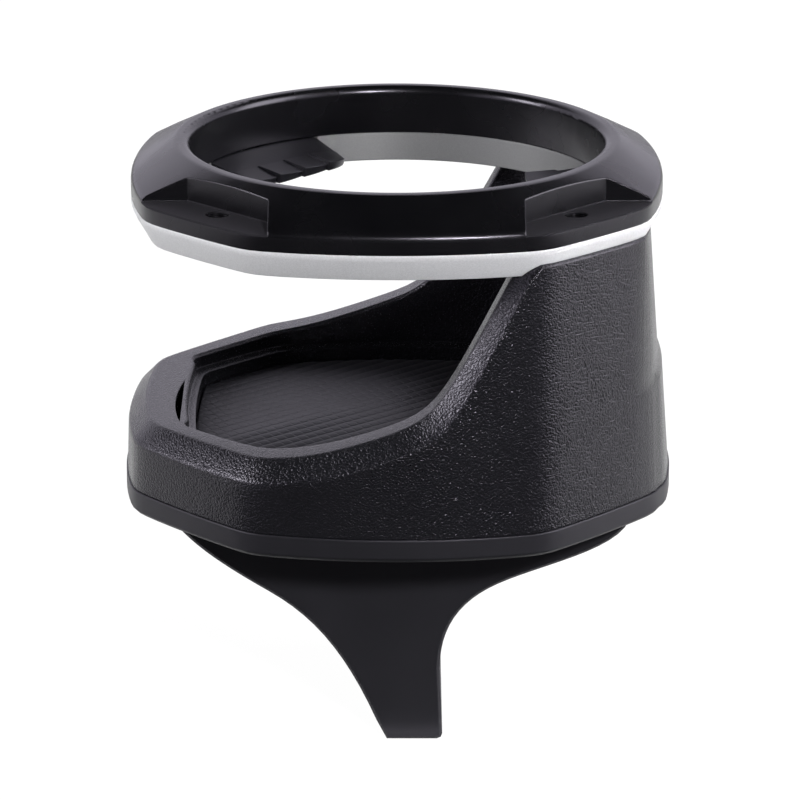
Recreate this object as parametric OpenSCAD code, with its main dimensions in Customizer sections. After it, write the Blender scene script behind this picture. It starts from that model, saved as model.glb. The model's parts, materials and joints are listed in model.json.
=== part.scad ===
// Car cup holder with a blade that is pushed into the gap beside a seat.
// +Z is up, +X points to the tower, and the origin is under the cup axis, level with the blade's foot.

/* [Cup ring] */
// Radius of the bore that the cup drops through
cup_bore_r = 39; // [36:0.5:42]
// Radius of the rounded edge at the top of the bore
bore_edge_r = 1.5; // [0.8:0.1:2]
// Width of the flat land round the bore
land_w = 1.2; // [0.8:0.1:2]
// Width of the ring from its bore to its long sides
ring_w = 11.1; // [10.5:0.1:12]
// How much further out the ring's cut corners lie than its long sides
ring_corner_out = 2.4; // [1.4:0.1:3.4]
// Height of the black upper ring
upper_ring_h = 9.2; // [8.8:0.1:11]
// Height of the upper ring's upright outer wall
upper_wall_h = 3.5; // [3:0.1:4]
// Height of the bright strip round the lower ring
strip_h = 1.2; // [0.8:0.1:2]
// Height of the lower ring's sloping skirt
skirt_h = 4; // [3.8:0.1:5]
// How far the skirt slopes inwards
skirt_inset = 2.3; // [1.5:0.1:2.8]
// How far the lower ring's bore narrows at its bottom
cone_inset = 1.1; // [0.5:0.1:1.5]

/* [Screw pockets] */
// Width of the ring between the bore and a pocket's back wall
pocket_wall = 4.9; // [4.4:0.1:5.5]
// How far a pocket's end walls lie inside the radius of the bore
pocket_end_in = 15.6; // [14.5:0.1:16.5]
// Depth of the pocket floor under the top of the ring
pocket_depth = 6.2; // [5.9:0.1:6.6]
// Distance from a pocket's back wall to its screw
pocket_screw_out = 2.5; // [2.4:0.1:3.1]

/* [Tray and tower] */
// How much further the tray reaches than the ring at its front and back
body_out_x = 1.3; // [0.4:0.1:1.9]
// How much further the tray reaches than the ring at its sides
body_out_y = 1.2; // [0.4:0.1:1.9]
// How much further out the tray's cut corners lie than its front
body_corner_out = 0.8; // [0.2:0.1:1.6]
// Direction of the tray's cut corners, measured from the front-to-back line
body_corner_angle = 41; // [39:1:45]
// How far the tower's back leans in from the seam to its top
tower_lean = 3.8; // [3:0.1:4.4]
// Height of the tray's wall from the seam to the low rim
tray_h = 13; // [12:0.5:15]
// Height of the tower from the seam
tower_h = 50.8; // [46:0.5:60]
// Width of the bevel round the rim
bevel_w = 3.5; // [2:0.1:4]
// Height of the bevel round the rim
bevel_h = 3.5; // [2:0.1:4]
// Whole width of the tray's wall, with the bevel
wall_w = 10.1; // [9.8:0.1:10.5]
// Thickness of the moulded skins
skin_t = 2; // [1.6:0.1:2.2]
// Depth of the ledge under the low rim
ledge_depth = 2.7; // [2:0.1:3.5]
// Width of the ledge round the mat
ledge_w = 3; // [2:0.1:3.5]
// Depth of the mat's well under the ledge
well_depth = 4.1; // [3.5:0.1:4.5]
// Thickness of the tray's floor
floor_t = 2; // [1.6:0.1:2.5]
// Height of the raised pad on the tower's back
pad_h = 22; // [16:1:26]
// How far that pad stands out
pad_out = 0.7; // [0.3:0.1:1]

/* [Rim sweep] */
// Slope of the gentle rise along the tray's sides
gentle_slope = 0.35; // [0.2:0.05:0.45]
// Place where the gentle rise starts
gentle_x = -18; // [-22:1:-12]
// Slope that the steep rise adds
steep_slope = 1.55; // [1.2:0.05:1.8]
// Place where the steep rise starts
steep_x = 7; // [4:0.5:9]
// Length over which the rim bends into the steep rise
steep_bend = 2.2; // [1.5:0.1:3]

/* [Finger slot] */
// How far the front skin stands into the tray
front_skin = 1.5; // [1:0.1:2]
// Half length of the slot behind the front skin
slot_half_l = 13.5; // [8:0.5:14]
// Greatest width of the slot
slot_w = 1.3; // [0.8:0.1:1.6]
// Place of the slot's middle along the rim
slot_y = -7; // [-7:0.5:7]
// Depth of the slot
slot_depth = 6; // [3:0.5:7]

/* [Base] */
// Height of the base's smooth band
base_h = 4.4; // [4:0.1:6]
// How far the base stands out past the tray's wall
base_step = 0.25; // [0.1:0.05:0.5]
// Thickness of the base plate
plate_t = 2.2; // [2:0.1:2.6]
// Height of the lip that locates the base inside the tray
lip_h = 2; // [1:0.1:3]
// Distance of the base screws from the centre, front to back
base_screw_x = 15; // [12:0.5:18]
// Distance of the base screws from the tray's sides
base_screw_in = 15.3; // [14.3:0.5:16.3]

/* [Blade] */
// Height of the blade from its foot to the base
blade_h = 43.6; // [38:0.1:60]
// Width of the blade along the gap
blade_w = 54; // [40:1:56]
// Thickness of the blade at its foot
foot_t = 10.9; // [8:0.1:13]
// Place of the foot's rear edge
foot_back_x = 8.6; // [6:0.1:10]
// Distance of the flange's front end from the tray's front
flange_in_front = 9.4; // [7.4:0.5:13.4]
// Distance of the flange's rear end from the tray's back
flange_in_back = 7.8; // [6.3:0.5:12.3]
// Thickness of the blade's walls
blade_t = 2.4; // [2:0.1:3]
// Distance of the blade screws from the centre, front to back
blade_screw_x = 25; // [22:0.5:27]
// Distance of the blade screws from the blade's two faces
blade_screw_in = 10; // [9:0.5:15]

/* [Mat] */
// Thickness of the mat
mat_t = 1.6; // [1.2:0.1:2]

/* [Grip flaps] */
// Length of each flap along its hinge
flap_l = 27.6; // [24:0.2:28.4]
// Length of the flat root inside the hinge
root_l = 4.6; // [4:0.1:5]
// Reach of the sloping part, from the root to the noses of the ribs
flap_reach = 11.6; // [9:0.1:12]
// How far the flap draws back at its rounded end
flap_crown = 3; // [1:0.1:3.5]
// Slope of the flap at rest
flap_slope = 9; // [6:0.2:11]
// How much lower the flap is at its rounded end
end_drop = 0.9; // [0.3:0.1:1]
// Thickness of the flap at its root
flap_t = 1.2; // [1.1:0.1:1.4]
// Height of the ribs at their noses
nose_h = 1.9; // [1.6:0.1:2.1]
// How far the hinge lies outside the radius of the bore
hinge_out = 1.6; // [1.4:0.1:2]
// Radius of the hinge barrel
barrel_r = 1.5; // [1.4:0.05:1.6]
// Radius of the hinge pin
pin_r = 0.8; // [0.7:0.05:0.9]
// Number of stepped ribs on each flap
rib_count = 4; // [3:1:5]
// Height of the step between neighbouring ribs at their noses
rib_step = 0.7; // [0.3:0.05:0.8]
// Wire thickness of the torsion springs
wire_d = 0.4; // [0.3:0.05:0.45]

/* [Fits] */
// Radial play between a pin and the flap that turns on it
pin_play = 0.05; // [0.03:0.01:0.08]
// Side play of a flap in its notch
flap_play = 0.4; // [0.3:0.05:0.6]
// Play between the ring and its seat
seat_play = 0.15; // [0.1:0.05:0.25]
// Play between the mat and its well
mat_play = 0.3; // [0.2:0.05:0.5]
// Gap between the base's lip and the tray's wall
lip_play = 0.15; // [0.1:0.05:0.3]

/* [Hidden] */

// Places that follow the bore and the ring
ring_half_w = cup_bore_r + ring_w;
ring_corner_d = ring_half_w + ring_corner_out;
pocket_back_d = cup_bore_r + pocket_wall;
pocket_end_d = cup_bore_r - pocket_end_in;
ring_screw_d = pocket_back_d + pocket_screw_out;
body_half_x = ring_half_w + body_out_x;
body_half_y = ring_half_w + body_out_y;
body_corner_d = body_half_x + body_corner_out;
tower_back_x = body_half_x - tower_lean;
base_screw_y = body_half_y - base_screw_in;
flange_front = body_half_x - flange_in_front;
flange_back = body_half_x - flange_in_back;
blade_screw_y = blade_w / 2 - blade_screw_in;
hinge_d = cup_bore_r + hinge_out;

// Heights above the foot of the blade
seam_z = blade_h + base_h;
rim_z = seam_z + tray_h;
tower_z = seam_z + tower_h;
ledge_z = rim_z - ledge_depth;
well_z = ledge_z - well_depth;
floor_z = well_z - floor_t;
mat_z = well_z + mat_t;
plate_z = blade_h + plate_t;
// The tower's lip covers a little more than half of the lower ring's skirt
lip_cover = 2.3;
seat_z = tower_z - lip_cover;
strip_z = seat_z + skirt_h;
joint_z = strip_z + strip_h;
top_z = joint_z + upper_ring_h;
pocket_z = top_z - pocket_depth;

// Outline of a rounded eight-sided shape: each side is an arc, given by the direction that it faces,
// its distance from the axis and its radius of bulge
steps = 144;
corner_sharpness = 100;
function side_r(a, side) =
    let (off = a - side[0], back = side[2] - side[1])
    sqrt(pow(side[2], 2) - pow(back * sin(off), 2)) - back * cos(off);
function outline_r(a, sides) =
    let (near = [for (side = sides) pow(side_r(a, side), -corner_sharpness)])
    pow(near * [for (side = sides) 1], -1 / corner_sharpness);
function eight_sides(back, flat_x, bulge_x, corner_a, corner, bulge_c, flat_y, bulge_y) = [
    [0, back, bulge_x], [corner_a, corner, bulge_c], [90, flat_y, bulge_y],
    [180 - corner_a, corner, bulge_c], [180, flat_x, bulge_x], [180 + corner_a, corner, bulge_c],
    [270, flat_y, bulge_y], [360 - corner_a, corner, bulge_c]
];

// Bulge of the long sides and of the cut corners
side_bulge = 100;
corner_bulge = 220;
ring_sides = eight_sides(ring_half_w, ring_half_w, side_bulge, 45, ring_corner_d, corner_bulge,
    ring_half_w, side_bulge);
body_sides = eight_sides(body_half_x - 0.3, body_half_x, 115, body_corner_angle, body_corner_d,
    corner_bulge, body_half_y, 90);
// The tower's top follows the ring, a little inside its strip
tower_sides = eight_sides(tower_back_x, ring_half_w - 0.3, 220, 45, ring_corner_d - 0.3,
    corner_bulge, ring_half_w - 0.2, side_bulge);
corner_wall = wall_w - 1.9;
inner_sides = eight_sides(body_half_x - wall_w, body_half_x - wall_w, 200, 45,
    body_corner_d - corner_wall, corner_bulge, body_half_y - wall_w, 84);

function ring_r(a) = outline_r(a, ring_sides);
// The tray's wall has a thin skin at the front, which stands further in
function full_inner_r(a) = outline_r(a, inner_sides);
skin_half_angle = 29;
function inner_r(a) =
    full_inner_r(a) - front_skin * min(1, max(0, (skin_half_angle - abs(a - 180)) / 4));
function well_r(a) = full_inner_r(a) - ledge_w;
pad_half_angle = 22;
pad_edge = 1.5;
function pad_r(a, z) =
    let (turn = a > 180 ? 360 - a : a, up = (seam_z + pad_h - z) / pad_edge)
    pad_out * min(1, max(0, up)) * min(1, max(0, (pad_half_angle - turn) / 3));
function wall_r(a, z) =
    let (part = max(0, min(1, (z - seam_z) / tower_h)))
    outline_r(a, body_sides) * (1 - part) + outline_r(a, tower_sides) * part + pad_r(a, z);

// Height and slope of the rim, which is one sweep seen from the side
function soft_rise(x, bend) = bend * ln(1 + exp(x / bend));
function soft_slope(x, bend) = 1 / (1 + exp(-x / bend));
gentle_bend = 5;
function rim_height(x) =
    rim_z + gentle_slope * soft_rise(x - gentle_x, gentle_bend)
    + steep_slope * soft_rise(x - steep_x, steep_bend);
function rim_steepness(x) =
    gentle_slope * soft_slope(x - gentle_x, gentle_bend)
    + steep_slope * soft_slope(x - steep_x, steep_bend);
// A thickness measured square to the sweep, as a height
function upright(t, x) = t * sqrt(1 + pow(rim_steepness(x), 2));

// A solid of rings round the axis: each ring is a list of [radius, height], one for each direction
function direction(i) = 360 * i / steps;
function ring_points(section) =
    [for (i = [0 : steps - 1]) for (p = section(direction(i)))
        [p[0] * cos(direction(i)), p[0] * sin(direction(i)), p[1]]];
function band_faces(count) =
    [for (i = [0 : steps - 1]) for (j = [0 : count - 2])
        let (near = i * count + j, far = ((i + 1) % steps) * count + j)
        each [[near, near + 1, far + 1], [near, far + 1, far]]];
function first_cap(count) = [for (i = [0 : steps - 1]) i * count];
function last_cap(count) = [for (i = [steps - 1 : -1 : 0]) i * count + count - 1];
module ring_solid(section) {
    count = len(section(0));
    polyhedron(
        points = ring_points(section),
        faces = concat(band_faces(count), [first_cap(count)], [last_cap(count)]),
        convexity = 8
    );
}

// Small rounding that takes the sharpness off moulded edges
edge_r = 0.5;

// Section of the tray and tower, from the floor's underside, over the rim, to the mat's well
body_section = function (a)
    let (
        guess_x = wall_r(a, rim_z) * cos(a),
        bevel_low = rim_height(guess_x) - upright(bevel_h, guess_x * abs(sin(a))),
        low_z = min(bevel_low, tower_z - edge_r),
        out_r = wall_r(a, low_z),
        bevel_top = rim_height((out_r - bevel_w) * cos(a)),
        share = min(1, max(edge_r / bevel_w, (tower_z - bevel_low) / (bevel_top - bevel_low))),
        top_r = out_r - bevel_w * share,
        high_z = min(bevel_top, tower_z),
        in_r = inner_r(a),
        in_z = min(rim_height(in_r * cos(a)), tower_z),
        hollow_in = full_inner_r(a) + skin_t,
        hollow_out = out_r - bevel_w - skin_t / 2,
        hollow_in_z = min(rim_height(hollow_in * cos(a)), seat_z) - upright(skin_t, hollow_in * cos(a)),
        hollow_top_z = min(rim_height(hollow_out * cos(a)), seat_z) - upright(skin_t, hollow_out * cos(a)),
        side_z = min(low_z - skin_t / 2, seat_z - 2 * skin_t),
        pad_low = min(seam_z + pad_h - pad_edge, seam_z + 0.5 * (low_z - seam_z)),
        pad_high = min(seam_z + pad_h, seam_z + 0.7 * (low_z - seam_z)),
        round_low = (high_z - low_z) * edge_r / bevel_h,
        round_r = (out_r - top_r) * edge_r / bevel_w
    )
    [
        [hollow_in, floor_z],
        [hollow_in, max(floor_z + 0.5, hollow_in_z)],
        [hollow_out, max(floor_z + 0.5, hollow_top_z)],
        [wall_r(a, side_z) - skin_t, side_z],
        [wall_r(a, seam_z) - skin_t, seam_z],
        [wall_r(a, seam_z), seam_z],
        [wall_r(a, pad_low), pad_low],
        [wall_r(a, pad_high), pad_high],
        [wall_r(a, low_z - round_low), low_z - round_low],
        [out_r - round_r / 2, low_z + round_low / 2],
        [top_r + round_r / 2, high_z - round_low / 2],
        [top_r - edge_r, min(rim_height((top_r - edge_r) * cos(a)), tower_z)],
        [in_r + edge_r, min(rim_height((in_r + edge_r) * cos(a)), tower_z)],
        [in_r, in_z - edge_r],
        [in_r, ledge_z],
        [well_r(a), ledge_z],
        [well_r(a), well_z]
    ];

// Screw sizes
screw_head_r = 1.95;
screw_head_h = 1.2;
screw_r = 1.2;
pilot_r = 1.25;
clear_r = 1.4;
head_clear_r = 2.15;
boss_r = 2.9;
// Depth of the counterbores for the ring screws
counterbore = 2;
ring_head_z = pocket_z - counterbore;
ring_boss_h = 16;
rear_screw_l = 16;
front_screw_l = 5;
base_screw_l = 6;
blade_screw_l = 8;
quarter_turns = [45, 135, 225, 315];
// The flaps leave the front of the ring free
flap_turns = [0, 135, 225];

module at_ring_screws(turns) {
    for (turn = turns) rotate([0, 0, turn]) translate([ring_screw_d, 0, 0]) children();
}

module at_four(x, y) {
    for (i = [-1, 1], j = [-1, 1]) translate([i * x, j * y, 0]) children();
}

// The lower ring's outside, grown by a play where it seats in the tower
module ring_envelope(grow) {
    section = function (a) [
        [ring_r(a) - skirt_inset + grow, seat_z],
        [ring_r(a) + grow, strip_z],
        [ring_r(a) + grow, joint_z]
    ];
    ring_solid(section);
}

module half_moon_slot() {
    slot_arc_r = (pow(slot_half_l, 2) + pow(slot_w, 2)) / (2 * slot_w);
    inner_skin = 0.9;
    slot_x = body_half_x - wall_w - front_skin + inner_skin;
    intersection() {
        translate([slot_arc_r - slot_x - slot_w, slot_y, rim_z - slot_depth])
            cylinder(h = slot_depth + 1, r = slot_arc_r, $fn = 120);
        translate([-slot_x - 2 * slot_w, slot_y - slot_half_l, rim_z - slot_depth])
            cube([2 * slot_w, 2 * slot_half_l, slot_depth + 1]);
    }
}

module body_shell() color([0.13, 0.13, 0.14]) {
    difference() {
        union() {
            ring_solid(body_section);
            at_ring_screws([quarter_turns[0], quarter_turns[3]])
                translate([0, 0, seat_z - ring_boss_h])
                    cylinder(h = ring_boss_h - skin_t / 2, r = boss_r, $fn = 48);
            at_four(base_screw_x, base_screw_y)
                translate([0, 0, plate_z])
                    cylinder(h = floor_z - plate_z + floor_t / 2, r = boss_r, $fn = 48);
        }
        ring_envelope(seat_play);
        half_moon_slot();
        at_ring_screws([quarter_turns[0], quarter_turns[3]])
            translate([0, 0, seat_z - rear_screw_l]) cylinder(h = rear_screw_l + 1, r = pilot_r, $fn = 32);
        at_four(base_screw_x, base_screw_y)
            translate([0, 0, plate_z - 1]) cylinder(h = base_screw_l, r = pilot_r, $fn = 32);
    }
}

module base_plate() color([0.12, 0.12, 0.13]) {
    foot_round = 0.7;
    section = function (a)
        let (wall = wall_r(a, seam_z), edge = wall + base_step, lip = wall - skin_t - lip_play)
        [
            [edge - foot_round, blade_h],
            [edge, blade_h + foot_round],
            [edge, seam_z],
            [lip, seam_z],
            [lip, seam_z + lip_h],
            [lip - skin_t, seam_z + lip_h],
            [lip - skin_t, plate_z]
        ];
    difference() {
        ring_solid(section);
        at_four(base_screw_x, base_screw_y) {
            translate([0, 0, blade_h - 1]) cylinder(h = plate_t + 2, r = clear_r, $fn = 32);
            translate([0, 0, blade_h - 1]) cylinder(h = 1 + screw_head_h, r = head_clear_r, $fn = 32);
        }
        at_four(blade_screw_x, blade_screw_y)
            translate([0, 0, blade_h - 1]) cylinder(h = plate_t + 2, r = clear_r, $fn = 32);
    }
}

// Outline of the blade from the side: two smooth curves run from the flange down to the foot
function curve_point(p, t) =
    pow(1 - t, 3) * p[0] + 3 * t * pow(1 - t, 2) * p[1] + 3 * t * t * (1 - t) * p[2] + pow(t, 3) * p[3];
function curve(p, count) = [for (i = [0 : count - 1]) curve_point(p, i / count)];
foot_front_x = foot_back_x - foot_t;
// Heights are shares of the blade's own height, so that the curves stretch with it
function share_z(z) = z * blade_h / 43.6;
front_curve_high = [[-flange_front, blade_h], [3.8 - flange_front, share_z(38.4)],
    [10.5 - flange_front, share_z(34)], [18 - flange_front, share_z(29.5)]];
front_curve_low = [front_curve_high[3], [foot_front_x - 12.2, share_z(23.8)],
    [foot_front_x - 6.2, share_z(15.5)], [foot_front_x, 0]];
back_curve_high = [[foot_back_x - 0.5, share_z(14)], [foot_back_x - 0.5, share_z(22)],
    [foot_back_x + 2.9, share_z(27.5)], [flange_back - 24.6, share_z(31)]];
back_curve_low = [back_curve_high[3], [flange_back - 16.6, share_z(34.8)],
    [flange_back - 2.6, share_z(37.5)], [flange_back, blade_h]];
curve_steps = 12;
foot_round = 1;
blade_outline = concat(
    curve(front_curve_high, curve_steps),
    curve(front_curve_low, curve_steps),
    [[foot_front_x + 0.4 * foot_round, 0], [foot_back_x - foot_round, 0]],
    [[foot_back_x - 0.3 * foot_round, 0.3 * foot_round], [foot_back_x, foot_round]],
    curve(back_curve_high, curve_steps),
    curve(back_curve_low, curve_steps),
    [[flange_back, blade_h]]
);
function unit(v) = v / norm(v);
function inset_point(points, i, t) =
    let (
        last = len(points),
        ahead = unit(points[(i + 1) % last] - points[i]),
        behind = unit(points[i] - points[(i + last - 1) % last]),
        along = unit(ahead + behind)
    )
    points[i] + t * [-along[1], along[0]];
function inset(points, t) = [for (i = [0 : len(points) - 1]) inset_point(points, i, t)];
// The hollow is open towards the base plate and stops above the foot
curve_points = 2 * curve_steps;
function hollow_side(from, to) =
    [for (i = [from : to])
        let (p = inset_point(blade_outline, i, blade_t))
        if (blade_outline[i][1] > blade_t + 1)
            [p[0], p[1] > blade_h - blade_t ? blade_h + 1 : p[1]]];
hollow_outline = concat(
    hollow_side(0, curve_points - 1),
    [[foot_front_x + blade_t - 0.4, blade_t + 0.4], [foot_back_x - blade_t, blade_t + 0.4]],
    hollow_side(curve_points + 4, 2 * curve_points + 4)
);

module blade_slab(points, y_from, y_to) {
    translate([0, y_to, 0]) rotate([90, 0, 0]) linear_extrude(height = y_to - y_from) polygon(points);
}

module gap_blade() color([0.12, 0.12, 0.13]) {
    count = len(blade_outline);
    soft = 0.6;
    small = inset(blade_outline, soft);
    half = blade_w / 2;
    // The four outlines across the blade, with small ones at its two faces
    rows = [[small, -half], [blade_outline, soft - half], [blade_outline, half - soft], [small, half]];
    difference() {
        polyhedron(
            points = [for (row = rows) for (p = row[0])
                [p[0], row[1], p[1] > blade_h - soft - 0.01 ? blade_h : p[1]]],
            faces = concat(
                [for (i = [0 : curve_points - 1]) [i, count - 1 - i, count - 2 - i, i + 1]],
                [[for (i = [0 : -1 : -4]) curve_points + (i + 5) % 5]],
                [for (i = [0 : curve_points - 1])
                    [for (j = [i + 1, count - 2 - i, count - 1 - i, i]) 3 * count + j]],
                [[for (i = [0 : 4]) 3 * count + curve_points + i]],
                [for (k = [0 : 2]) for (i = [0 : count - 1])
                    let (j = (i + 1) % count)
                    each [[k * count + i, k * count + j, (k + 1) * count + j],
                          [k * count + i, (k + 1) * count + j, (k + 1) * count + i]]]
            ),
            convexity = 6
        );
        difference() {
            blade_slab(hollow_outline, blade_t - half, half - blade_t);
            // The bosses stay solid, and so does a rib across the middle
            at_four(blade_screw_x, blade_screw_y) cylinder(h = blade_h + 2, r = boss_r, $fn = 48);
            translate([-flange_front, -blade_t / 2, 0])
                cube([flange_front + flange_back, blade_t, blade_h + 2]);
        }
        at_four(blade_screw_x, blade_screw_y)
            translate([0, 0, blade_h - blade_screw_l])
                cylinder(h = blade_screw_l + 1, r = pilot_r, $fn = 32);
    }
}

module floor_mat() color([0.2, 0.2, 0.21]) {
    edge = 0.4;
    section = function (a) [
        [well_r(a) - mat_play, well_z],
        [well_r(a) - mat_play, mat_z - edge],
        [well_r(a) - mat_play - edge, mat_z]
    ];
    ring_solid(section);
}

hinge_z = joint_z - barrel_r - 0.2;
notch_back_d = hinge_d + 2.5;
// A shelf behind the hinge holds up the spring's back leg
shelf_back = 1;
shelf_gap = 0.1;
notch_front_d = cup_bore_r - 9;
pin_l = flap_l + 6;

module at_flap(turn) {
    rotate([0, 0, turn]) translate([hinge_d, 0, hinge_z]) children();
}

module along_hinge(length, radius, sides) {
    rotate([90, 0, 0]) cylinder(h = length, r = radius, center = true, $fn = sides);
}

module lower_ring() color([0.78, 0.78, 0.8]) {
    difference() {
        ring_envelope(0);
        translate([0, 0, seat_z - 0.01])
            cylinder(h = joint_z - seat_z + 0.02, r1 = cup_bore_r - 0.3 - cone_inset,
                r2 = cup_bore_r - 0.3, $fn = 180);
        for (turn = flap_turns) {
            rotate([0, 0, turn]) difference() {
                translate([notch_front_d, -flap_l / 2 - flap_play, seat_z - 1])
                    cube([notch_back_d - notch_front_d, flap_l + 2 * flap_play, joint_z - seat_z + 2]);
                translate([hinge_d + shelf_back, -flap_l / 2 - 2, seat_z - 2])
                    cube([notch_back_d, flap_l + 4, hinge_z - barrel_r - shelf_gap - seat_z + 2]);
            }
            at_flap(turn) along_hinge(pin_l, pin_r, 32);
        }
        at_ring_screws(quarter_turns)
            translate([0, 0, seat_z - 1]) cylinder(h = joint_z - seat_z + 2, r = pilot_r, $fn = 32);
    }
}

module bore_edge_cut() {
    rotate_extrude($fn = 180) difference() {
        translate([cup_bore_r - 1, top_z - bore_edge_r]) square([1 + bore_edge_r, bore_edge_r + 1]);
        translate([cup_bore_r + bore_edge_r, top_z - bore_edge_r]) circle(r = bore_edge_r, $fn = 48);
    }
}

module pocket_cut() {
    reach = 2 * ring_half_w;
    back = pocket_back_d * sqrt(2);
    for (i = [-1, 1], j = [-1, 1])
        translate([0, 0, pocket_z]) scale([i, j, 1]) linear_extrude(height = pocket_depth + 1)
            polygon([[pocket_end_d, back - pocket_end_d], [pocket_end_d, reach], [reach, reach],
                [reach, pocket_end_d], [back - pocket_end_d, pocket_end_d]]);
}

module upper_ring() color([0.12, 0.12, 0.13]) {
    land_r = cup_bore_r + bore_edge_r + land_w;
    wall_top_z = joint_z + upper_wall_h;
    // A broad soft shoulder between the upright wall and the sloping top
    shoulder = 1.1;
    slope = function (a) [land_r - ring_r(a), top_z - wall_top_z];
    soft = function (a, t)
        [ring_r(a), wall_top_z]
        + shoulder * (t * t * slope(a) / norm(slope(a)) - (1 - t) * (1 - t) * [0, 1]);
    section = function (a) [
        [ring_r(a), joint_z],
        soft(a, 0),
        soft(a, 0.3),
        soft(a, 0.6),
        soft(a, 1),
        [land_r + edge_r, top_z - edge_r / 2],
        [land_r - edge_r / 2, top_z]
    ];
    difference() {
        ring_solid(section);
        translate([0, 0, joint_z - 1]) cylinder(h = upper_ring_h + 2, r = cup_bore_r, $fn = 180);
        bore_edge_cut();
        pocket_cut();
        at_ring_screws(quarter_turns) {
            translate([0, 0, joint_z - 1]) cylinder(h = upper_ring_h, r = clear_r, $fn = 32);
            translate([0, 0, ring_head_z]) cylinder(h = counterbore + 1, r = head_clear_r, $fn = 48);
        }
    }
}

// The flap in its own place: the hinge is the origin, the cup axis lies towards -X
spring_gap = 3.2;
start_x = -root_l - 0.45 * flap_reach;
nose_x = -root_l - flap_reach;
nose_z = barrel_r - flap_reach * tan(flap_slope);

// Section of the flap across its hinge at the place y: a rib rises with its share, 0 on its low side
// and 1 on its high side, and the far end of the flap is rounded and lower
function flap_section(y, share) =
    let (
        end = pow(max(0, -2 * y / flap_l), 4),
        drop = end_drop * end,
        back = flap_crown * end + 0.7 * pow(1 - share, 2),
        start_z = barrel_r + (start_x + root_l) * tan(flap_slope) - drop,
        lift = 0.4 * rib_step * share,
        under_z = nose_z + rib_step - nose_h - 0.7 * drop
    )
    [
        [0, barrel_r],
        [-root_l, barrel_r],
        [start_x, start_z],
        [start_x - 0.5, start_z - 0.5 * tan(flap_slope) + lift],
        [nose_x + back, nose_z - drop + rib_step * share],
        [nose_x + back + 0.3, under_z],
        [start_x, barrel_r - flap_t + (under_z - barrel_r + flap_t) * 0.45],
        [-root_l, barrel_r - flap_t],
        [-1, barrel_r - flap_t],
        [0, barrel_r - flap_t - 0.2]
    ];

// The ribs are steps in one plate: each is high towards +Y and falls to its low side
rib_cuts = 4;
rib_w = (flap_l - 0.8) / rib_count;
function rib_place(k, j) =
    let (high = flap_l / 2 - (rib_count - 1 - k) * rib_w, low = k == 0 ? -flap_l / 2 : high - rib_w + 0.04)
    low + (high - low) * j / rib_cuts;
module flap_plate() {
    rows = [for (k = [0 : rib_count - 1]) for (j = [0 : rib_cuts])
        [for (p = flap_section(rib_place(k, j), j / rib_cuts)) [p[0], rib_place(k, j), p[1]]]];
    count = len(rows[0]);
    last = len(rows) - 1;
    polyhedron(
        points = [for (row = rows) each row],
        faces = concat(
            [for (j = [0 : count / 2 - 2])
                each [[count - 2 - j, j + 1, j], [count - 1 - j, count - 2 - j, j]]],
            [for (j = [0 : count / 2 - 2])
                each [[for (i = [j, j + 1, count - 2 - j]) last * count + i],
                      [for (i = [j, count - 2 - j, count - 1 - j]) last * count + i]]],
            [for (i = [0 : last - 1]) for (j = [0 : count - 1])
                let (next = (j + 1) % count, near = i * count, far = near + count)
                each [[near + next, far + next, near + j], [far + next, far + j, near + j]]]
        ),
        convexity = 8
    );
}

module flap(turn) color([0.16, 0.16, 0.17]) at_flap(turn) {
    difference() {
        union() {
            along_hinge(flap_l, barrel_r, 48);
            flap_plate();
        }
        along_hinge(flap_l + 2, pin_r + pin_play, 32);
        translate([0.05 - barrel_r, -spring_gap, -barrel_r - 0.1])
            cube([2 * barrel_r + 1, 2 * spring_gap, 2 * barrel_r + 0.2]);
    }
}

module hinge_pin(turn) color([0.7, 0.7, 0.72]) at_flap(turn) along_hinge(pin_l, pin_r, 32);

// Torsion spring: one leg pushes up under the flap and the other rests on the shelf behind the hinge
spring_turns = 4;
spring_steps = 12;
spring_sides = 6;
coil_r = pin_r + 0.15 + wire_d / 2;
front_leg = [0.8 - root_l, barrel_r - flap_t - wire_d / 2 - 0.05];
back_leg = [notch_back_d - hinge_d - 0.2, wire_d / 2 + 0.05 - barrel_r - shelf_gap];
// Directions in which the two legs leave the coil
front_a = atan2(front_leg[1], front_leg[0]) + acos(coil_r / norm(front_leg));
back_a = atan2(back_leg[1], back_leg[0]) - acos(coil_r / norm(back_leg)) + 360 * spring_turns;

module flap_spring(turn) color([0.75, 0.75, 0.77]) at_flap(turn) {
    pitch = wire_d + 0.12;
    count = spring_turns * spring_steps;
    half_w = spring_turns * pitch / 2;
    place = function (i) front_a + (back_a - front_a) * i / count;
    coil = [for (i = [0 : count]) let (a = place(i))
        [[coil_r * cos(a), 2 * half_w * i / count - half_w, coil_r * sin(a)], [cos(a), 0, sin(a)]]];
    path = concat(
        [[[front_leg[0], -half_w, front_leg[1]], coil[0][1]]],
        coil,
        [[[back_leg[0], half_w, back_leg[1]], coil[count][1]]]
    );
    last = len(path);
    polyhedron(
        points = [for (p = path) for (k = [0 : spring_sides - 1]) let (b = 360 * k / spring_sides)
            p[0] + wire_d / 2 * (cos(b) * p[1] + sin(b) * [0, 1, 0])],
        faces = concat(
            [[for (k = [0 : spring_sides - 1]) k]],
            [[for (k = [spring_sides - 1 : -1 : 0]) (last - 1) * spring_sides + k]],
            [for (i = [0 : last - 2]) for (k = [0 : spring_sides - 1])
                let (near = i * spring_sides, far = near + spring_sides, next = (k + 1) % spring_sides)
                each [[near + k, far + k, far + next], [near + k, far + next, near + next]]]
        ),
        convexity = 10
    );
}

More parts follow.
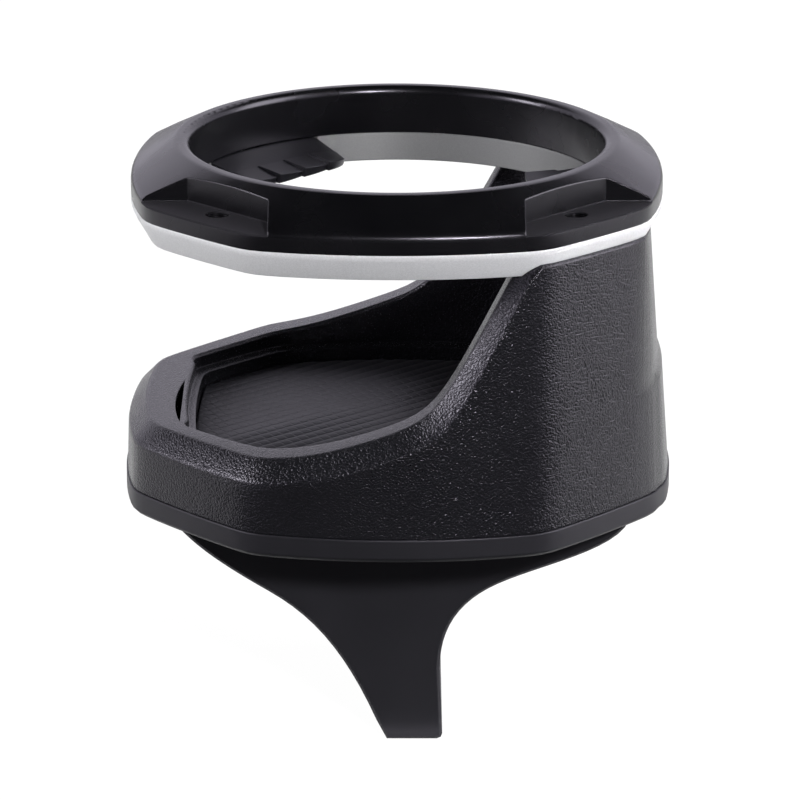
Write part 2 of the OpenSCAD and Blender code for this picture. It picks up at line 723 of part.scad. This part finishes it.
// A cross-head screw that points down, with the underside of its head at the origin
module screw(length) {
    slot = 0.55;
    difference() {
        union() {
            translate([0, 0, -length]) cylinder(h = length + 0.1, r = screw_r, $fn = 32);
            cylinder(h = screw_head_h, r = screw_head_r, $fn = 48);
        }
        for (turn = [0, 90])
            rotate([0, 0, turn]) translate([-1.2, -slot / 2, screw_head_h - 0.7]) cube([2.4, slot, 1]);
    }
}

module front_ring_screws() color([0.1, 0.1, 0.1])
    at_ring_screws([quarter_turns[1], quarter_turns[2]]) translate([0, 0, ring_head_z]) screw(front_screw_l);

module rear_ring_screws() color([0.1, 0.1, 0.1])
    at_ring_screws([quarter_turns[0], quarter_turns[3]]) translate([0, 0, ring_head_z]) screw(rear_screw_l);

module base_screws() color([0.1, 0.1, 0.1])
    at_four(base_screw_x, base_screw_y)
        translate([0, 0, blade_h + screw_head_h]) rotate([180, 0, 0]) screw(base_screw_l - 1);

module blade_screws() color([0.1, 0.1, 0.1])
    at_four(blade_screw_x, blade_screw_y) translate([0, 0, plate_z]) screw(blade_screw_l);

body_shell();
base_plate();
gap_blade();
floor_mat();
lower_ring();
upper_ring();
flap(flap_turns[0]);  // flap_1
flap(flap_turns[1]);  // flap_2
flap(flap_turns[2]);  // flap_3
hinge_pin(flap_turns[0]);  // hinge_pin_1
hinge_pin(flap_turns[1]);  // hinge_pin_2
hinge_pin(flap_turns[2]);  // hinge_pin_3
flap_spring(flap_turns[0]);  // flap_spring_1
flap_spring(flap_turns[1]);  // flap_spring_2
flap_spring(flap_turns[2]);  // flap_spring_3
front_ring_screws();
rear_ring_screws();
base_screws();
blade_screws();
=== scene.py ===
import json
import math

import bpy
from mathutils import Matrix, Vector


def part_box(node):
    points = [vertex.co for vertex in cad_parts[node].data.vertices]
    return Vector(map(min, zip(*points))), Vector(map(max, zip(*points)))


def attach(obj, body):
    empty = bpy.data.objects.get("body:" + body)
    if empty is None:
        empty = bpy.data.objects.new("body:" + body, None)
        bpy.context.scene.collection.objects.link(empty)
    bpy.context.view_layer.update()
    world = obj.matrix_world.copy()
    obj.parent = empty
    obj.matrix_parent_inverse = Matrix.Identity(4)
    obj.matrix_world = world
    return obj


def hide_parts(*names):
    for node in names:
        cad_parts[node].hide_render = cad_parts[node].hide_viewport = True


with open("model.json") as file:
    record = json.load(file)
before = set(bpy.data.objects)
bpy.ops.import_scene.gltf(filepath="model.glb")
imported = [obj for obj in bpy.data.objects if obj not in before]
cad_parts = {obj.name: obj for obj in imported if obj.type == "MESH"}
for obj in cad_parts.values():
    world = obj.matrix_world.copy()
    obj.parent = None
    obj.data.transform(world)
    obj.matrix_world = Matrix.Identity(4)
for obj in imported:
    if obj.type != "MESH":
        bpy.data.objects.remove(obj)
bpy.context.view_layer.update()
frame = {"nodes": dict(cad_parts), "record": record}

# The part is drawn in millimetres and the scene is in metres
MM = 0.001
FLAPS = (1, 2, 3)

# The upper ring's pockets: the height of their floors, the end walls' distance from the middle
# lines, and the least sum of both distances, at the back walls
POCKET_FLOOR = 104.7 * MM
POCKET_END = 23.5 * MM
POCKET_BACK = 61.9 * MM

# The lower ring's painted shade: its colour is darkened to a fifth inside the first radius, and full outside
# the second
PAINTED_SHADE_INNER_RADIUS = 41.2 * MM
PAINTED_SHADE_OUTER_RADIUS = 42.2 * MM

# The mat's ridges in millimetres, and their direction in degrees from the long axis
RIDGE_PITCH = 2.7
RIDGE_DEPTH = 0.24
RIDGE_TURN = 43

# Edges that turn by more than the first angle are rounded, and those under the second are smoothed
EDGE_TURN = 32
SMOOTH_TURN = 40


def colour(text):
    """An sRGB hex colour as linear light."""
    parts = [int(text[i:i + 2], 16) / 255 for i in (0, 2, 4)]
    return [p / 12.92 if p <= 0.04045 else ((p + 0.055) / 1.055) ** 2.4 for p in parts] + [1.0]


def add(tree, kind, values=None, links=None, **settings):
    """Adds one node with its settings, its socket values and its links."""
    made = tree.nodes.new(kind)
    for name, value in settings.items():
        setattr(made, name, value)
    for name, value in (values or {}).items():
        made.inputs[name].default_value = value
    for name, source in (links or {}).items():
        tree.links.new(source, made.inputs[name])
    return made


def per_metre(size_mm):
    """Texture scale that makes a pattern's cells this many millimetres wide."""
    return 1 / (size_mm * MM)


def start_material(name, **surface):
    """A material with one Principled surface and Object coordinates to draw its patterns on."""
    material = bpy.data.materials.new(name)
    material.use_nodes = True
    tree = material.node_tree
    tree.nodes.clear()
    place = add(tree, "ShaderNodeTexCoord").outputs["Object"]
    shader = add(tree, "ShaderNodeBsdfPrincipled", surface)
    add(tree, "ShaderNodeOutputMaterial", links={"Surface": shader.outputs["BSDF"]})
    return material, tree, place, shader


def dress(tree, shader, tones, gloss=None, reliefs=(), edge_mm=None, ends=(0.3, 0.7)):
    """Lays patterns on a surface.

    tones is a pattern and the two hex colours between which it moves the surface, ends says at
    which of its values, and gloss is a pattern and two roughnesses. Each relief is a pattern and
    its depth in millimetres. edge_mm turns the light over the edges as over that radius, so that
    they catch a thin line.
    """
    pattern, low, high = tones
    ramp = add(tree, "ShaderNodeValToRGB", links={"Fac": pattern})
    for stop, position, tone in zip(ramp.color_ramp.elements, ends, (low, high)):
        stop.position = position
        stop.color = colour(tone)
    tree.links.new(ramp.outputs["Color"], shader.inputs["Base Color"])
    if gloss is not None:
        pattern, low, high = gloss
        spread = add(tree, "ShaderNodeMapRange", {"To Min": low, "To Max": high}, {"Value": pattern})
        tree.links.new(spread.outputs["Result"], shader.inputs["Roughness"])
    under = {}
    if edge_mm is not None:
        edge = add(tree, "ShaderNodeBevel", {"Radius": edge_mm * MM}, samples=8)
        under = {"Normal": edge.outputs["Normal"]}
    for pattern, depth_mm in reliefs:
        bump = add(tree, "ShaderNodeBump", {"Strength": 1.0, "Distance": depth_mm * MM},
                   {"Height": pattern, **under})
        under = {"Normal": bump.outputs["Normal"]}
    tree.links.new(under["Normal"], shader.inputs["Normal"])


# Black plastics give back light with a faint violet cast
VIOLET = colour("F5EFFF")


def grained_abs():
    # Black ABS moulded in an etched tool: fine leather grain whose rounded tops glint one by one
    material, tree, place, shader = start_material(
        "Black_ABS_etched_leather_grain", **{"IOR": 1.5, "Specular Tint": VIOLET})
    pebbles = add(tree, "ShaderNodeTexVoronoi", {"Scale": per_metre(0.35), "Randomness": 1.0},
                  {"Vector": place}, feature="SMOOTH_F1")
    tops = add(tree, "ShaderNodeMapRange",
               {"From Min": 0.15, "From Max": 0.75, "To Min": 1.0, "To Max": 0.0},
               {"Value": pebbles.outputs["Distance"]}, interpolation_type="SMOOTHSTEP")
    wander = add(tree, "ShaderNodeTexNoise", {"Scale": per_metre(0.28), "Detail": 2.0, "Roughness": 0.6},
                 {"Vector": place}).outputs["Fac"]
    uneven = add(tree, "ShaderNodeMapRange",
                 {"From Min": 0.3, "From Max": 0.7, "To Min": 0.6, "To Max": 1.0}, {"Value": wander})
    grain = add(tree, "ShaderNodeMath",
                links={0: tops.outputs["Result"], 1: uneven.outputs["Result"]}, operation="MULTIPLY")
    cloudy = add(tree, "ShaderNodeTexNoise", {"Scale": per_metre(14)}, {"Vector": place})
    dress(tree, shader, (cloudy.outputs["Fac"], "101013", "141417"), (wander, 0.18, 0.32),
          [(grain.outputs["Value"], 0.07)], 0.5)
    return material


def smooth_plastic(name, low, high, rough, grain_mm=0.25, depth_mm=0.006):
    # Black plastic from a stoned, unpolished tool: even satin with a faint bloom
    material, tree, place, shader = start_material(name, **{"IOR": 1.5, "Specular Tint": VIOLET})
    fine = add(tree, "ShaderNodeTexNoise",
               {"Scale": per_metre(grain_mm), "Detail": 3.0, "Roughness": 0.6}, {"Vector": place})
    cloudy = add(tree, "ShaderNodeTexNoise", {"Scale": per_metre(11)}, {"Vector": place}).outputs["Fac"]
    dress(tree, shader, (cloudy, low, high), (cloudy, rough - 0.03, rough + 0.03),
          [(fine.outputs["Fac"], depth_mm)], 0.3)
    return material


def pocket_floors(tree, place):
    """One on the floors of the upper ring's pockets, and nought elsewhere."""
    # A floor lies within 0.3 mm of its height, past its two end walls and its slanting back wall
    along = add(tree, "ShaderNodeSeparateXYZ", links={"Vector": place}).outputs
    level = add(tree, "ShaderNodeMath", {1: POCKET_FLOOR, 2: 0.3 * MM}, {0: along["Z"]}, operation="COMPARE")
    aside = add(tree, "ShaderNodeMath", links={0: along["X"]}, operation="ABSOLUTE").outputs["Value"]
    ahead = add(tree, "ShaderNodeMath", links={0: along["Y"]}, operation="ABSOLUTE").outputs["Value"]
    nearer = add(tree, "ShaderNodeMath", links={0: aside, 1: ahead}, operation="MINIMUM").outputs["Value"]
    both = add(tree, "ShaderNodeMath", links={0: aside, 1: ahead}, operation="ADD").outputs["Value"]
    ends = add(tree, "ShaderNodeMath", {1: POCKET_END}, {0: nearer}, operation="GREATER_THAN")
    back = add(tree, "ShaderNodeMath", {1: POCKET_BACK}, {0: both}, operation="GREATER_THAN")
    corner = add(tree, "ShaderNodeMath",
                 links={0: ends.outputs["Value"], 1: back.outputs["Value"]}, operation="MULTIPLY")
    floor_mask = add(tree, "ShaderNodeMath",
                     links={0: level.outputs["Value"], 1: corner.outputs["Value"]}, operation="MULTIPLY")
    return floor_mask.outputs["Value"]


def ring_abs():
    # Black ABS with a satin face; the floors of the corner pockets keep the mill's dull finish
    material, tree, place, shader = start_material(
        "Black_ABS_satin_with_dull_pockets", **{"IOR": 1.5, "Specular Tint": VIOLET})
    fine = add(tree, "ShaderNodeTexNoise",
               {"Scale": per_metre(0.25), "Detail": 3.0, "Roughness": 0.6}, {"Vector": place})
    cloudy = add(tree, "ShaderNodeTexNoise", {"Scale": per_metre(11)}, {"Vector": place}).outputs["Fac"]
    dress(tree, shader, (cloudy, "08080A", "0B0B0D"), None, [(fine.outputs["Fac"], 0.006)], 0.45)
    satin = add(tree, "ShaderNodeMapRange",
                {"From Min": 0.3, "From Max": 0.7, "To Min": 0.23, "To Max": 0.29}, {"Value": cloudy})
    rough = add(tree, "ShaderNodeMath", {1: 0.6},
                {0: pocket_floors(tree, place), 2: satin.outputs["Result"]}, operation="MULTIPLY_ADD")
    tree.links.new(rough.outputs["Value"], shader.inputs["Roughness"])
    return material


def silver_paint():
    # ABS sprayed with silver lacquer: fine metal flakes under a satin coat. The ring's inner wall is
    # painted darker, as painted shade under the black ring
    material, tree, place, shader = start_material(
        "Silver_sprayed_ABS", **{"Metallic": 0.08, "Coat Weight": 0.2, "Coat Roughness": 0.25})
    flakes = add(tree, "ShaderNodeTexVoronoi", {"Scale": per_metre(0.14)}, {"Vector": place})
    spark = add(tree, "ShaderNodeSeparateColor", links={"Color": flakes.outputs["Color"]}).outputs["Red"]
    outer = add(tree, "ShaderNodeMapRange",
                {"From Min": 0.0, "From Max": 1.0, "To Min": 0.86, "To Max": 1.0}, {"Value": spark})
    flat = add(tree, "ShaderNodeVectorMath", {1: (1, 1, 0)}, {0: place}, operation="MULTIPLY")
    radius = add(tree, "ShaderNodeVectorMath", links={0: flat.outputs["Vector"]}, operation="LENGTH")
    # Painted shade: inside the inner wall the base colour falls to a fifth of the flakes' tone
    painted_shade = add(tree, "ShaderNodeMapRange",
                {"From Min": PAINTED_SHADE_INNER_RADIUS, "From Max": PAINTED_SHADE_OUTER_RADIUS, "To Min": 0.2, "To Max": 1.0},
                {"Value": radius.outputs["Value"]})
    flakes_and_painted_shade = add(tree, "ShaderNodeMath",
                links={0: outer.outputs["Result"], 1: painted_shade.outputs["Result"]}, operation="MULTIPLY")
    fine = add(tree, "ShaderNodeTexNoise", {"Scale": per_metre(0.3)}, {"Vector": place})
    dress(tree, shader, (flakes_and_painted_shade.outputs["Value"], "000000", "EBEBEF"), (spark, 0.38, 0.5),
          [(fine.outputs["Fac"], 0.003)], 0.3, ends=(0.0, 1.0))
    return material


def mat_rubber():
    # Moulded black rubber: dull and slightly dusty, finely pitted between its ridges
    material, tree, place, shader = start_material(
        "Black_rubber_moulded", **{"IOR": 1.5, "Specular Tint": VIOLET})
    fine = add(tree, "ShaderNodeTexNoise",
               {"Scale": per_metre(0.35), "Detail": 3.0, "Roughness": 0.65}, {"Vector": place}).outputs["Fac"]
    # Short cuts across the ridges, set over by half from row to row, break them into a weave
    turned = add(tree, "ShaderNodeMapping", {"Rotation": (0, 0, math.radians(-RIDGE_TURN))},
                 {"Vector": place})
    shifted = add(tree, "ShaderNodeMapping", {"Location": (0, RIDGE_PITCH * MM / 2, 0)},
                  {"Vector": turned.outputs["Vector"]})
    cuts = add(
        tree, "ShaderNodeTexBrick",
        {"Scale": per_metre(1.0), "Brick Width": 2.1, "Row Height": RIDGE_PITCH, "Mortar Size": 0.35,
         "Mortar Smooth": 1.0, "Color1": (1, 1, 1, 1), "Color2": (1, 1, 1, 1), "Mortar": (0, 0, 0, 1)},
        {"Vector": shifted.outputs["Vector"]}, offset=0.5)
    dusty = add(tree, "ShaderNodeTexNoise", {"Scale": per_metre(18)}, {"Vector": place})
    dress(tree, shader, (dusty.outputs["Fac"], "1B1B1E", "212125"), (fine, 0.42, 0.58),
          [(fine, 0.02), (cuts.outputs["Color"], 0.08)])
    return material


def drawn_steel(name, low, high, rough):
    # Drawn steel wire and pin stock: fine marks of the die break its shine
    material, tree, place, shader = start_material(name, **{"Metallic": 1.0})
    marks = add(tree, "ShaderNodeTexNoise", {"Scale": per_metre(0.15), "Detail": 4.0},
                {"Vector": place}).outputs["Fac"]
    dress(tree, shader, (marks, low, high), (marks, rough - 0.06, rough + 0.06), [(marks, 0.002)])
    return material


MATERIALS = {
    "grained_shell": grained_abs(),
    "smooth_black": smooth_plastic("Black_ABS_stoned_tool_matte", "151518", "19191C", 0.45),
    "black_ring": ring_abs(),
    "flap_black": smooth_plastic("Black_nylon_moulded_fine_satin", "17171A", "1C1C20", 0.4, 0.3, 0.012),
    "mat_rubber": mat_rubber(),
    "silver_ring": silver_paint(),
    "pin_steel": drawn_steel("Steel_pin_drawn", "8C8D90", "A9AAAD", 0.3),
    "spring_steel": drawn_steel("Spring_wire_drawn", "7D7E82", "9B9CA0", 0.34),
    "screw_black": drawn_steel("Steel_screw_black_zinc", "1C1C1E", "29292B", 0.32),
}
SLOTS = {p["node"]: p["material_slot"] for p in frame["record"]["subparts"]}
BODIES = {n: body for body, nodes in frame["record"]["behaviour"]["bodies"].items() for n in nodes}


def only(piece):
    """Selects this piece alone and makes it active."""
    bpy.ops.object.select_all(action="DESELECT")
    piece.select_set(True)
    bpy.context.view_layer.objects.active = piece


def give(piece, slot):
    """Gives a piece the one material of the record's slot that it comes from."""
    piece.data.materials.clear()
    piece.data.materials.append(MATERIALS[slot])


def merged_copy(node, name):
    """A copy of a CAD node with its loose triangles joined and its flat faces made whole."""
    piece = bpy.data.objects.new(name, frame["nodes"][node].data.copy())
    bpy.context.scene.collection.objects.link(piece)
    only(piece)
    bpy.ops.object.mode_set(mode="EDIT")
    bpy.ops.mesh.select_all(action="SELECT")
    bpy.ops.mesh.remove_doubles(threshold=0.004 * MM)
    bpy.ops.mesh.dissolve_limited(angle_limit=math.radians(0.03))
    bpy.ops.object.mode_set(mode="OBJECT")
    return piece


def edge_shares(piece, radius_mm):
    """How much of the full radius each edge takes: less beside small details, so none runs over."""
    room = 0.45
    mesh = piece.data
    shortest = [1.0] * len(mesh.vertices)
    for edge in mesh.edges:
        a, b = edge.vertices
        span = (mesh.vertices[a].co - mesh.vertices[b].co).length
        shortest[a], shortest[b] = min(shortest[a], span), min(shortest[b], span)
    sides = {}
    for face in mesh.polygons:
        for key in face.edge_keys:
            sides.setdefault(key, []).append(face.normal)
    shares = mesh.attributes.new("bevel_weight_edge", "FLOAT", "EDGE")
    for edge, share in zip(mesh.edges, shares.data):
        a, b = edge.vertices
        faces = sides.get(edge.key, [])
        if len(faces) == 2 and faces[0].angle(faces[1], 0) > math.radians(EDGE_TURN):
            share.value = min(1.0, room * min(shortest[a], shortest[b]) / (radius_mm * MM))


def soften(piece, radius_mm):
    """Rounds a moulding's sharp edges by a real radius and smooths its faces."""
    edge_shares(piece, radius_mm)
    only(piece)
    bevel = piece.modifiers.new("edges", "BEVEL")
    bevel.width = radius_mm * MM
    bevel.segments = 3
    bevel.limit_method = "WEIGHT"
    bevel.use_clamp_overlap = True
    bpy.ops.object.modifier_apply(modifier=bevel.name)
    bpy.ops.object.shade_smooth_by_angle(angle=math.radians(SMOOTH_TURN))
    # Broad faces keep their own direction, so that only the rounded edges turn the light
    weigh = piece.modifiers.new("normals", "WEIGHTED_NORMAL")
    weigh.keep_sharp = True
    bpy.ops.object.modifier_apply(modifier=weigh.name)


def finish_node(node, name, radius_mm):
    """A moulding with softened edges that stands for its CAD node."""
    piece = merged_copy(node, name)
    soften(piece, radius_mm)
    give(piece, SLOTS[node])
    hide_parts(node)
    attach(piece, BODIES[node])


def ridged_sheet(top):
    """A thick sheet with ridges on its upper side, whose crests reach the given height."""
    half, thick, parts, crest = 45, 6, 10, 0.8
    bpy.ops.object.select_all(action="DESELECT")
    bpy.ops.mesh.primitive_grid_add(
        x_subdivisions=round(2 * half / RIDGE_PITCH * parts), y_subdivisions=1, size=2 * half * MM)
    sheet = bpy.context.active_object
    for v in sheet.data.vertices:
        ridge = abs(math.cos(math.pi * v.co.x / (RIDGE_PITCH * MM))) ** crest
        v.co.z = top - RIDGE_DEPTH * MM * (1 - ridge)
    sheet.data.transform(Matrix.Rotation(math.radians(RIDGE_TURN + 90), 4, "Z"))
    bpy.ops.object.mode_set(mode="EDIT")
    bpy.ops.mesh.select_all(action="SELECT")
    bpy.ops.mesh.extrude_region_move(TRANSFORM_OT_translate={"value": (0, 0, -thick * MM)})
    bpy.ops.mesh.select_all(action="SELECT")
    bpy.ops.mesh.normals_make_consistent(inside=False)
    bpy.ops.object.mode_set(mode="OBJECT")
    return sheet


def ridged_mat():
    """The mat with its diagonal ridges, cut from a ridged sheet by the mat's own outline."""
    low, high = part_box("floor_mat")
    piece = merged_copy("floor_mat", "tray_mat")
    sheet = ridged_sheet(high.z)
    only(piece)
    cut = piece.modifiers.new("ridges", "BOOLEAN")
    cut.operation = "INTERSECT"
    cut.solver = "EXACT"
    cut.object = sheet
    bpy.ops.object.modifier_apply(modifier=cut.name)
    bpy.data.objects.remove(sheet)
    bpy.ops.object.shade_smooth_by_angle(angle=math.radians(38))
    give(piece, "mat_rubber")
    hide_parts("floor_mat")
    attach(piece, BODIES["floor_mat"])


# Camera: the photograph's own view, along the gap with the tower at the right, from 17 degrees above
CAMERA_HEIGHT_ANGLE = 17.23
camera_data = bpy.data.cameras.new("camera")
camera_data.lens = 254.4
camera_data.sensor_width = 36
camera_data.clip_end = 20
camera = bpy.data.objects.new("camera", camera_data)
camera.location = Vector((0.6, -1031.5, 378.9)) * MM
camera.rotation_euler = (math.radians(90 - CAMERA_HEIGHT_ANGLE), 0, 0)
bpy.context.scene.collection.objects.link(camera)
bpy.context.scene.camera = camera

# Mouldings, each with the radius of its edges in millimetres
finish_node("body_shell", "tray_and_tower", 0.4)
finish_node("base_plate", "base_band", 0.2)
finish_node("gap_blade", "blade", 0.2)
ridged_mat()
finish_node("lower_ring", "silver_ring", 0.2)
finish_node("upper_ring", "black_ring", 0.3)
for k in FLAPS:
    finish_node(f"flap_{k}", f"grip_flap_{k}", 0.2)

# Small steel pieces keep their CAD shape
for node_name, cad_object in frame["nodes"].items():
    if node_name.startswith(("hinge_pin", "flap_spring")) or node_name.endswith("screws"):
        give(cad_object, SLOTS[node_name])


def area_light(name, place, aim, size, power, spread=180):
    """A softbox: place and aim in metres, size as (width, height) in metres, spread in degrees."""
    data = bpy.data.lights.new(name, "AREA")
    data.shape = "RECTANGLE"
    data.size, data.size_y = size
    data.energy = power
    data.spread = math.radians(spread)
    lamp = bpy.data.objects.new(name, data)
    lamp.location = place
    lamp.rotation_euler = (Vector(aim) - Vector(place)).to_track_quat("-Z", "Y").to_euler()
    bpy.context.scene.collection.objects.link(lamp)


# The front softbox is gridded, so that it lights the ring and not the card in front of the part
MIDDLE = (0, 0, 0.06)
area_light("softbox_left", (-1.05, -0.15, 0.6), MIDDLE, (0.3, 0.45), 7)
area_light("softbox_right", (1.05, -0.12, 0.5), MIDDLE, (0.7, 1.0), 13)
area_light("softbox_front", (0.4, -1.45, 0.93), (0, 0, 0.12), (0.9, 0.5), 1.2, 9)


def felt(name, tone):
    """Plain dull cloth for the cards."""
    material = bpy.data.materials.new(name)
    material.use_nodes = True
    material.node_tree.nodes.clear()
    dull = add(material.node_tree, "ShaderNodeBsdfDiffuse", {"Color": colour(tone)})
    add(material.node_tree, "ShaderNodeOutputMaterial", links={"Surface": dull.outputs["BSDF"]})
    return material


def dark_card(name, place, turn, size, cloth):
    """A dark card that the camera does not see: size as (width, height) in metres."""
    bpy.ops.object.select_all(action="DESELECT")
    bpy.ops.mesh.primitive_plane_add(size=1)
    flag = bpy.context.active_object
    flag.name = name
    flag.data.transform(Matrix.Translation(place) @ Matrix.Rotation(math.radians(turn), 4, "X")
                        @ Matrix.Diagonal((size[0], size[1], 1, 1)))
    flag.data.materials.append(cloth)
    flag.visible_camera = False
    flag.visible_shadow = False


# Cards overhead and in front keep the near bevels black, and one on the table the near walls dark
black_felt = felt("Black_felt", "0A0A0A")
grey_felt = felt("Grey_felt", "565656")
dark_card("flag_over", (0, -0.2, 1.3), 0, (3.2, 3.0), black_felt)
dark_card("flag_front", (0, -1.7, 0.66), 90, (3.2, 1.28), black_felt)
dark_card("flag_table", (0, -0.4, 0.0015), 0, (1.0, 0.74), grey_felt)

# Studio: white to the camera and through clear things, nearly white in reflections, soft elsewhere
world = bpy.data.worlds.new("studio")
bpy.context.scene.world = world
world.use_nodes = True
sky = world.node_tree
sky.nodes.clear()
ray = add(sky, "ShaderNodeLightPath").outputs
seen = add(sky, "ShaderNodeMath", links={0: ray["Is Camera Ray"], 1: ray["Is Transmission Ray"]},
           operation="MAXIMUM")
dim = add(sky, "ShaderNodeBackground", {"Color": colour("FFFFFF"), "Strength": 0.4})
cool = add(sky, "ShaderNodeBackground", {"Color": colour("F6F2FF"), "Strength": 0.95})
white = add(sky, "ShaderNodeBackground", {"Color": colour("FFFFFF"), "Strength": 1.0})
mirrored = add(sky, "ShaderNodeMixShader", links={
    0: ray["Is Glossy Ray"], 1: dim.outputs["Background"], 2: cool.outputs["Background"]})
blend_sky = add(sky, "ShaderNodeMixShader", links={
    0: seen.outputs["Value"], 1: mirrored.outputs["Shader"], 2: white.outputs["Background"]})
add(sky, "ShaderNodeOutputWorld", links={"Surface": blend_sky.outputs["Shader"]})

# Floor: plain white card that keeps a faint shadow
bpy.ops.object.select_all(action="DESELECT")
bpy.ops.mesh.primitive_plane_add(size=6, location=(0, 0, 0))
floor = bpy.context.active_object
floor.name = "floor"
card = bpy.data.materials.new("White_card")
card.use_nodes = True
paper = card.node_tree
paper.nodes.clear()
ray = add(paper, "ShaderNodeLightPath").outputs
share = add(paper, "ShaderNodeMath", {1: 0.9}, {0: ray["Is Camera Ray"]}, operation="MULTIPLY")
matte = add(paper, "ShaderNodeBsdfDiffuse", {"Color": colour("EDEDED")})
glow = add(paper, "ShaderNodeEmission", {"Color": colour("FFFFFF"), "Strength": 1.07})
surface = add(paper, "ShaderNodeMixShader", links={
    0: share.outputs["Value"], 1: matte.outputs["BSDF"], 2: glow.outputs["Emission"]})
add(paper, "ShaderNodeOutputMaterial", links={"Surface": surface.outputs["Shader"]})
floor.data.materials.append(card)

bpy.context.scene.view_settings.view_transform = "Standard"
